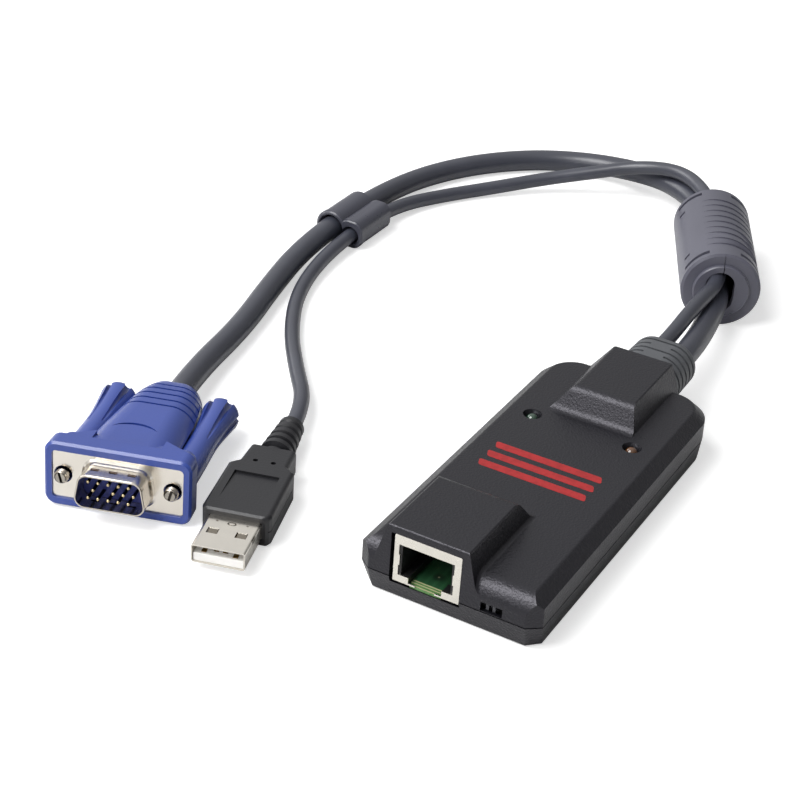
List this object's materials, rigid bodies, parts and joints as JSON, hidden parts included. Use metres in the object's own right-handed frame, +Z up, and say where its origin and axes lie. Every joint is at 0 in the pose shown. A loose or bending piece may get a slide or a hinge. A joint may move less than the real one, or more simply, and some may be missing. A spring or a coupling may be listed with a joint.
{
  "type": "kvm dongle",
  "caption": "Low two-shell case with a network socket at one end and a strain relief at the other; its two cables pass a ferrite and a clip to a video plug and a USB plug.",
  "frame": {"origin": "centre of the case's underside, on the table", "axes": "+Z up, -Y out of the network socket, +Y towards the cable end, +X to the right seen from the socket end"},
  "size_m": [0.1368, 0.2415, 0.0212],
  "materials": {
    "case_upper": "fine satin texture",
    "case_lower": "fine satin texture",
    "relief_grey": "satin moulded",
    "cable_grey": "satin vinyl",
    "ferrite_grey": "satin",
    "core_dark": "sintered, hidden",
    "clip_grey": "satin",
    "vga_blue": "satin moulded",
    "knob_blue": "satin moulded",
    "nickel": "nickel plated",
    "jack_steel": "nickel plated",
    "steel": "plated",
    "insulator_blue": "matte",
    "gold": "gold plated",
    "black_plastic": "matte",
    "board_green": "solder mask",
    "chip_black": "matte",
    "can_steel": "plain",
    "header_white": "matte",
    "lamp_green": "clear tinted",
    "lamp_amber": "clear tinted",
    "switch_black": "matte",
    "slider_white": "matte",
    "usb_grey": "satin moulded",
    "tongue_white": "matte"
  },
  "bodies": {
    "module": {"top_cover": "case_upper", "bottom_cover": "case_lower", "cover_screws": "steel", "circuit_board": "board_green", "controller_chip": "chip_black", "network_chip": "chip_black", "crystal": "can_steel", "cable_header": "header_white", "line_transformer": "chip_black", "jack_shield": "jack_steel", "jack_body": "black_plastic", "jack_contacts": "gold", "switch_body": "switch_black", "lamp_left": "lamp_green", "lamp_right": "lamp_amber", "strain_relief": "relief_grey", "ferrite_cover": "ferrite_grey", "ferrite_core": "core_dark", "cable_clip": "clip_grey", "vga_hood": "vga_blue", "vga_shell": "nickel", "vga_insulator": "insulator_blue", "vga_pins": "gold", "usb_grip": "usb_grey", "usb_shell": "nickel", "usb_tongue": "tongue_white", "usb_contacts": "gold", "vga_cable": "cable_grey", "usb_cable": "cable_grey"},
    "switch": {"switch_slider": "slider_white"},
    "thumb_left": {"thumb_knob_left": "knob_blue", "thumb_screw_left": "steel"},
    "thumb_right": {"thumb_knob_right": "knob_blue", "thumb_screw_right": "steel"}
  },
  "joints": [
    {"name": "switch_slide", "type": "slide", "parent": "module", "child": "switch", "axis": [1, 0, 0], "range_m": [0, 0.0018]},
    {"name": "thumb_left_turn", "type": "hinge", "parent": "module", "child": "thumb_left", "pos_m": [-0.09611, -0.03995, 0.0069], "axis": [-0.3116, 0.9477, -0.0698], "continuous": true},
    {"name": "thumb_right_turn", "type": "hinge", "parent": "module", "child": "thumb_right", "pos_m": [-0.07236, -0.03214, 0.0069], "axis": [-0.3116, 0.9477, -0.0698], "continuous": true}
  ]
}
